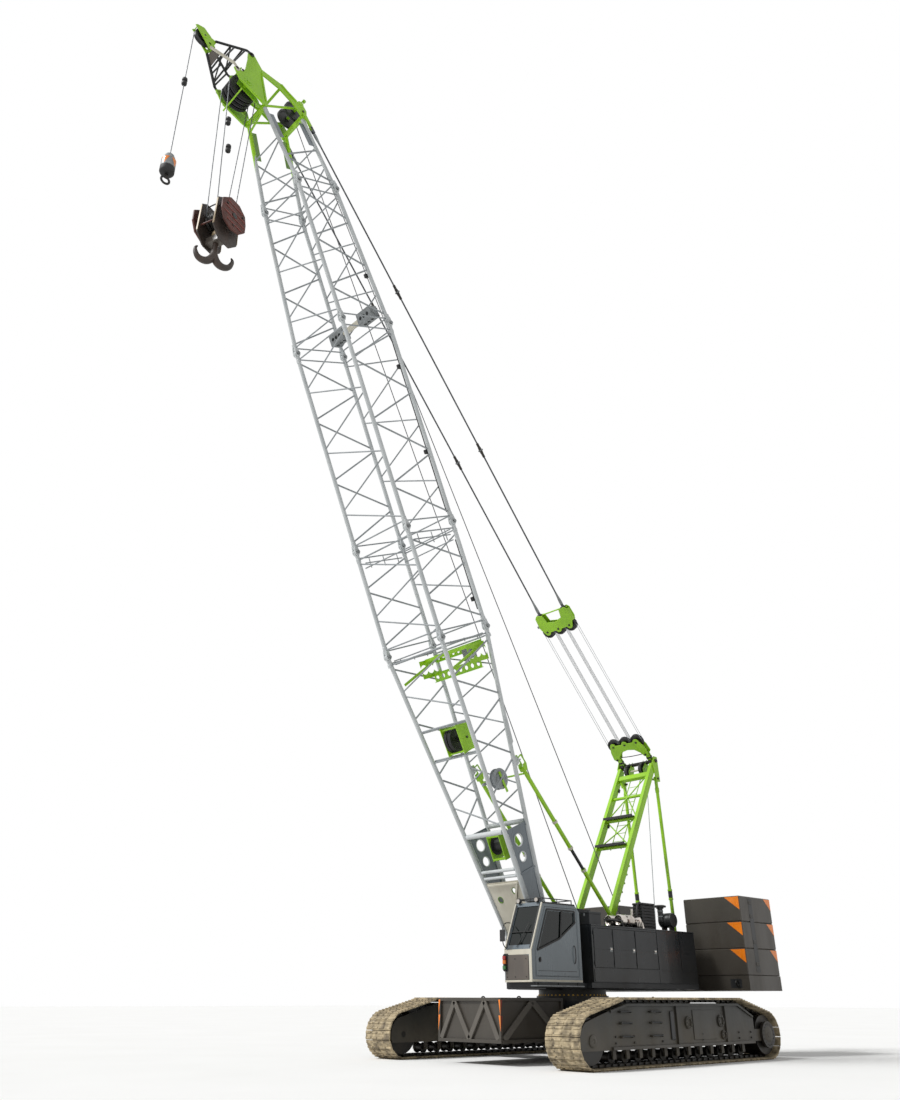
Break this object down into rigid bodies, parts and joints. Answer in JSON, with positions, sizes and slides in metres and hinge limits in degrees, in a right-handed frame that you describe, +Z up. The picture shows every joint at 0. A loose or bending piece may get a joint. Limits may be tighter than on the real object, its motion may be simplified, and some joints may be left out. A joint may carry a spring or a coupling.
{
  "type": "crawler crane",
  "caption": "Crawler crane on two tracks with a slewing upper structure, a lattice boom, a gantry with pendants, a short tip jib and hooks on ropes.",
  "frame": {"origin": "middle of the whole machine's box, on the ground; the swing axis stands 4.573 m behind it", "axes": "+X forward along the boom, +Y to the machine's left, +Z up"},
  "size_m": [20.0012, 6.995, 26.201],
  "materials": {
    "track_steel": "worn",
    "dark_frame": "satin",
    "charcoal": "satin",
    "cab_grey": "gloss",
    "boom_grey": "satin",
    "lime": "gloss",
    "bright_steel": "satin",
    "rope_steel": "satin",
    "counter_iron": "satin",
    "window_glass": "clear",
    "black_plastic": "matte",
    "hook_paint": "worn"
  },
  "bodies": {
    "undercarriage": {"carbody": "dark_frame", "slew_ring_lower": "dark_frame", "track_left": "track_steel", "track_right": "track_steel", "track_frame_left": "dark_frame", "track_frame_right": "dark_frame", "track_rollers": "dark_frame", "idler_wheels": "dark_frame", "drive_sprockets": "dark_frame", "carbody_weight_front": "dark_frame", "carbody_weight_rear": "dark_frame"},
    "upper": {"upper_frame": "dark_frame", "slew_ring_upper": "dark_frame", "upper_pins": "bright_steel", "side_frames": "dark_frame", "housing_left": "charcoal", "housing_right": "charcoal", "engine_block": "dark_frame", "silencers": "bright_steel", "air_filter": "black_plastic", "roof_boxes": "charcoal", "winches": "dark_frame", "cab_shell": "cab_grey", "cab_glass": "window_glass", "cab_seat": "black_plastic", "counterweight_base": "counter_iron", "counterweight_slabs": "counter_iron", "gantry_legs": "lime", "gantry_head": "lime", "gantry_rear_legs": "lime"},
    "cab_door": {"cab_door": "cab_grey", "cab_door_glass": "window_glass"},
    "gantry_block": {"gantry_block": "lime"},
    "boom": {"boom_butt": "boom_grey", "boom_insert_short": "boom_grey", "boom_insert_long": "boom_grey", "boom_top": "boom_grey", "boom_head": "boom_grey", "butt_webs": "boom_grey", "boom_lacing": "boom_grey", "boom_joint_pins": "boom_grey", "head_cheeks": "lime", "head_sheaves": "black_plastic", "aux_jib": "lime", "pendants": "rope_steel", "bridle": "lime", "backstop_ears": "lime"},
    "backstop_tubes": {"backstop_tubes": "lime"},
    "backstop_rods": {"backstop_rods": "lime"},
    "hook_block": {"hook_block": "hook_paint", "hook_block_sheaves": "hook_paint", "main_hoist_ropes": "rope_steel"},
    "main_hook": {"main_hook": "hook_paint"},
    "aux_line": {"aux_hoist_rope": "rope_steel", "aux_ball": "hook_paint"},
    "aux_hook": {"aux_hook": "hook_paint"},
    "housing_door_1": {"housing_door_1": "charcoal"},
    "housing_door_2": {"housing_door_2": "charcoal"},
    "housing_door_3": {"housing_door_3": "charcoal"}
  },
  "joints": [
    {"name": "slew", "type": "hinge", "parent": "undercarriage", "child": "upper", "pos_m": [-4.57264, 0, 1.56], "axis": [0, 0, 1], "continuous": true},
    {"name": "boom_luff", "type": "hinge", "parent": "upper", "child": "boom", "pos_m": [-3.28364, 0, 2.001], "axis": [0, -1, 0], "range_deg": [-35.67, 14.33]},
    {"name": "gantry_block_swing", "type": "hinge", "parent": "upper", "child": "gantry_block", "pos_m": [-8.36264, 0, 8], "axis": [0, -1, 0], "range_deg": [-36.67, 15.33]},
    {"name": "backstop_fold", "type": "hinge", "parent": "upper", "child": "backstop_tubes", "pos_m": [-6.37264, 0, 2.3], "axis": [0, -1, 0], "range_deg": [-24.94, 10.42]},
    {"name": "backstop_slide", "type": "slide", "parent": "backstop_tubes", "child": "backstop_rods", "axis": [0.6928, 0, 0.7212], "range_m": [-0.5577, 1.3585]},
    {"name": "main_block_hang", "type": "hinge", "parent": "boom", "child": "hook_block", "pos_m": [8.20385, 0, 24.73754], "axis": [0, -1, 0], "range_deg": [-15.33, 36.67]},
    {"name": "main_hook_swivel", "type": "hinge", "parent": "hook_block", "child": "main_hook", "pos_m": [8.20385, 0, 19.02754], "axis": [0, 0, 1], "continuous": true},
    {"name": "aux_line_hang", "type": "hinge", "parent": "boom", "child": "aux_line", "pos_m": [9.52734, 0, 25.91703], "axis": [0, -1, 0], "range_deg": [-15.33, 36.67]},
    {"name": "aux_hook_swivel", "type": "hinge", "parent": "aux_line", "child": "aux_hook", "pos_m": [9.81064, 0, 20.56703], "axis": [0, 0, 1], "continuous": true},
    {"name": "cab_door_swing", "type": "hinge", "parent": "upper", "child": "cab_door", "pos_m": [-2.99464, 1.579, 1.81], "axis": [0, 0, 1], "range_deg": [0, 90]},
    {"name": "housing_door_1_swing", "type": "hinge", "parent": "upper", "child": "housing_door_1", "pos_m": [-3.48064, 1.695, 2.03], "axis": [0, 0, -1], "range_deg": [0, 90]},
    {"name": "housing_door_2_swing", "type": "hinge", "parent": "upper", "child": "housing_door_2", "pos_m": [-4.25064, 1.695, 2.03], "axis": [0, 0, -1], "range_deg": [0, 90]},
    {"name": "housing_door_3_swing", "type": "hinge", "parent": "upper", "child": "housing_door_3", "pos_m": [-5.18064, 1.695, 2.03], "axis": [0, 0, -1], "range_deg": [0, 90]}
  ],
  "couplings": [
    {"joint": "gantry_block_swing", "follows": "boom_luff", "ratio": 1},
    {"joint": "backstop_fold", "follows": "boom_luff", "ratio": 0.68},
    {"joint": "backstop_slide", "follows": "boom_luff", "m_per_rad": -2.15},
    {"joint": "main_block_hang", "follows": "boom_luff", "ratio": -1},
    {"joint": "aux_line_hang", "follows": "boom_luff", "ratio": -1}
  ]
}
